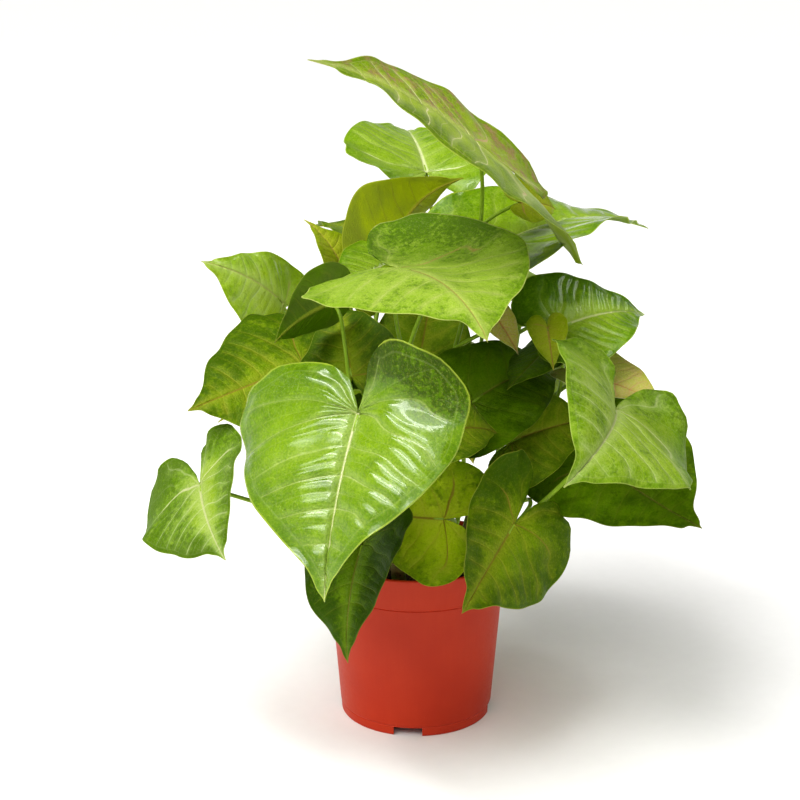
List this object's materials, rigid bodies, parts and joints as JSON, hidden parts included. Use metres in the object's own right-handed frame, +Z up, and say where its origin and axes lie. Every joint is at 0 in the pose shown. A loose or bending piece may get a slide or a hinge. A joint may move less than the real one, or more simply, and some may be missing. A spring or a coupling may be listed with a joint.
{
  "type": "potted arrowhead plant",
  "caption": "Bushy arrowhead plant with heart-shaped, veined green leaves on slender stalks, growing in a plain round terracotta-coloured plastic pot.",
  "frame": {"origin": "on the pot's axis at the level of its foot", "axes": "+Z up along the pot's axis, -Y towards the side with the largest leaf"},
  "size_m": [0.2727, 0.3233, 0.3494],
  "materials": {
    "pot_plastic": "smooth moulded terracotta-coloured plastic with a soft sheen",
    "potting_mix": "rough damp brown potting mix",
    "stem": "satin green stem",
    "leaf_glossy": "glossy bright green leaf with pale veins",
    "leaf_matte": "satin pale green leaf with pale and reddish veins",
    "leaf_dull": "satin olive green leaf with brownish veins",
    "leaf_dark": "satin dark green leaf"
  },
  "bodies": {
    "root": {"pot": "pot_plastic", "soil": "potting_mix", "stem_1": "stem", "stem_2": "stem", "stem_3": "stem", "stem_4": "stem", "stem_5": "stem", "stem_6": "stem", "stem_7": "stem", "stem_8": "stem", "stem_9": "stem", "stem_10": "stem", "leaf_01": "leaf_matte", "leaf_02": "leaf_glossy", "leaf_03": "leaf_dull", "leaf_04": "leaf_dull", "leaf_05": "leaf_glossy", "leaf_06": "leaf_dull", "leaf_07": "leaf_matte", "leaf_08": "leaf_glossy", "leaf_09": "leaf_dark", "leaf_10": "leaf_dark", "leaf_11": "leaf_dull", "leaf_12": "leaf_glossy", "leaf_13": "leaf_glossy", "leaf_14": "leaf_matte", "leaf_15": "leaf_dark", "leaf_16": "leaf_dull", "leaf_17": "leaf_dull", "leaf_18": "leaf_dark", "leaf_19": "leaf_dull", "leaf_20": "leaf_matte", "leaf_21": "leaf_dark", "leaf_22": "leaf_glossy", "leaf_23": "leaf_dull", "leaf_24": "leaf_matte", "leaf_25": "leaf_dull", "leaf_26": "leaf_dull", "leaf_27": "leaf_matte", "leaf_28": "leaf_glossy", "leaf_29": "leaf_glossy", "leaf_30": "leaf_dull", "leaf_31": "leaf_dark", "leaf_32": "leaf_dull", "leaf_33": "leaf_dark", "leaf_34": "leaf_dull", "leaf_35": "leaf_dark", "leaf_36": "leaf_glossy", "leaf_37": "leaf_dark", "leaf_38": "leaf_dull", "leaf_39": "leaf_dull"}
  },
  "joints": []
}
